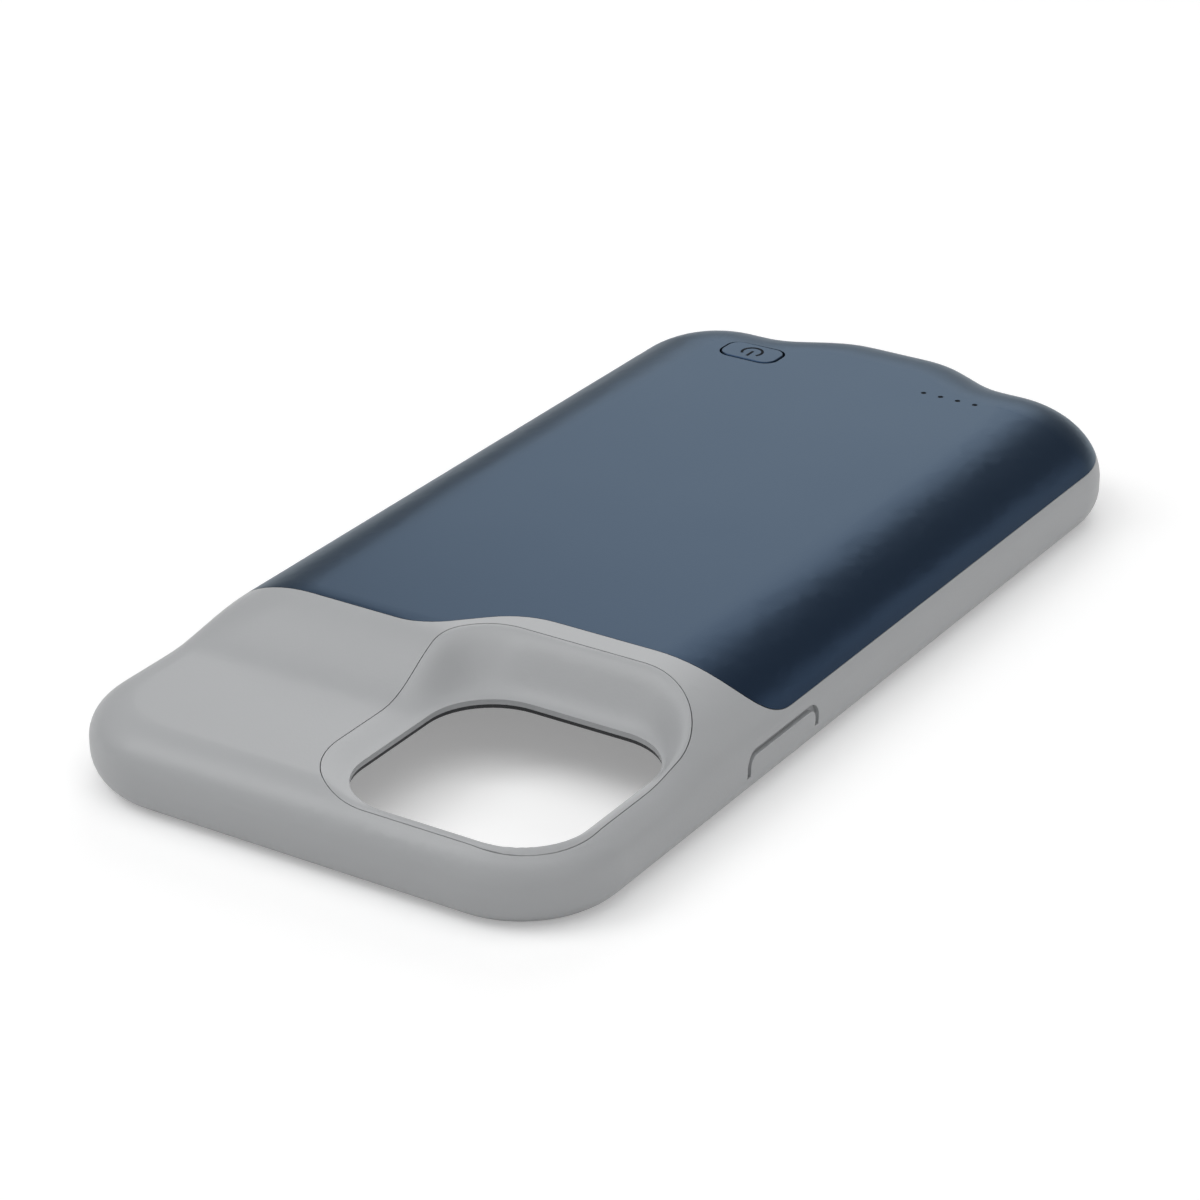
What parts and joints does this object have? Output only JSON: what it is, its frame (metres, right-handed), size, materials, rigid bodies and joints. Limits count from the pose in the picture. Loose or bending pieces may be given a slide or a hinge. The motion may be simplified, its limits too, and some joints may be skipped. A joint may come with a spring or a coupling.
{
  "type": "battery charging case",
  "caption": "Two-tone phone sleeve with a built-in battery: soft grey bumper, ramped navy back, camera window, oblong power key, row of charge lights and a charging port in the chin.",
  "frame": {"origin": "middle of the footprint, on the surface that the front rim lies on", "axes": "+Z out of the back, +Y towards the camera end, charging port at -Y, camera window on the -X side"},
  "size_m": [0.076, 0.1571, 0.0163],
  "materials": {
    "soft_grey": "smooth matt, soft to the touch",
    "navy_cover": "satin",
    "stiff_tray": "fine moulded grain",
    "clear_guide": "smoked, lets light through",
    "bright_steel": "bright",
    "gold_contacts": "bright, gold plated",
    "dark_insulator": "matt",
    "board_green": "coated board",
    "ferrite": "matt",
    "capacitor_tan": "matt",
    "light_white": "gloss",
    "cell_foil": "satin pouch foil",
    "tape_white": "matt film",
    "foam_black": "fine foam",
    "lead_red": "smooth",
    "lead_black": "smooth",
    "flex_amber": "film"
  },
  "bodies": {
    "housing": {"bumper": "soft_grey", "camera_surround": "soft_grey", "back_cover": "navy_cover", "inner_tray": "stiff_tray", "light_guide": "clear_guide", "port_shell": "bright_steel", "phone_plug": "bright_steel", "power_switch": "bright_steel", "plug_contacts": "gold_contacts", "port_tongue": "dark_insulator", "charge_controller": "dark_insulator", "main_board": "board_green", "plug_board": "board_green", "protection_board": "board_green", "boost_inductor": "ferrite", "capacitors": "capacitor_tan", "status_lights": "light_white", "battery_socket": "light_white", "battery_cell": "cell_foil", "battery_tape": "tape_white", "foam_pads": "foam_black", "lead_positive": "lead_red", "lead_negative": "lead_black", "plug_flex": "flex_amber"},
    "key": {"power_button": "navy_cover", "switch_plunger": "dark_insulator"}
  },
  "joints": [
    {"name": "key_press", "type": "slide", "parent": "housing", "child": "key", "axis": [0, 0, -1], "range_m": [0, 0.0003], "stiffness_N_per_m": 1500}
  ]
}
